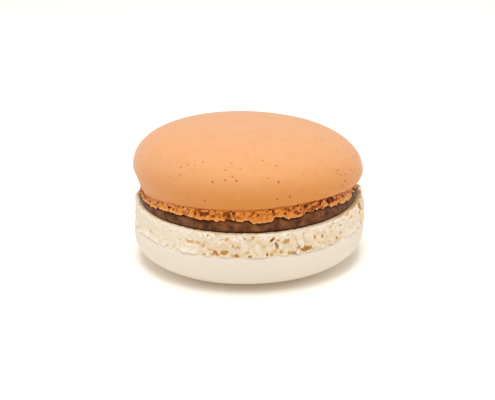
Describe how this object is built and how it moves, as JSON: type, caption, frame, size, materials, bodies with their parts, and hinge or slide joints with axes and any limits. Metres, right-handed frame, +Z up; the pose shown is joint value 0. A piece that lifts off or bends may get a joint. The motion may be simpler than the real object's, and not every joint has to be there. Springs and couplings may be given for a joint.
{
  "type": "french macaron",
  "caption": "Round sandwich biscuit: a smooth domed shell with a craggy foot, a thin chocolate ganache disc and a paler shell turned over below it.",
  "frame": {"origin": "middle of the flat spot that the lower shell rests on", "axes": "+Z up through both shells, -Y towards the side where the filling shows thickest, +X to the viewer's right"},
  "size_m": [0.045, 0.045, 0.0268],
  "materials": {
    "caramel_shell": "matte baked meringue, caramel brown, finely pored",
    "cream_shell": "matte baked meringue, cream white, with ochre hollows in its foot",
    "ganache": "smooth set milk chocolate ganache with a soft sheen"
  },
  "bodies": {
    "root": {"shell_top": "caramel_shell", "filling": "ganache", "shell_bottom": "cream_shell"}
  },
  "joints": []
}
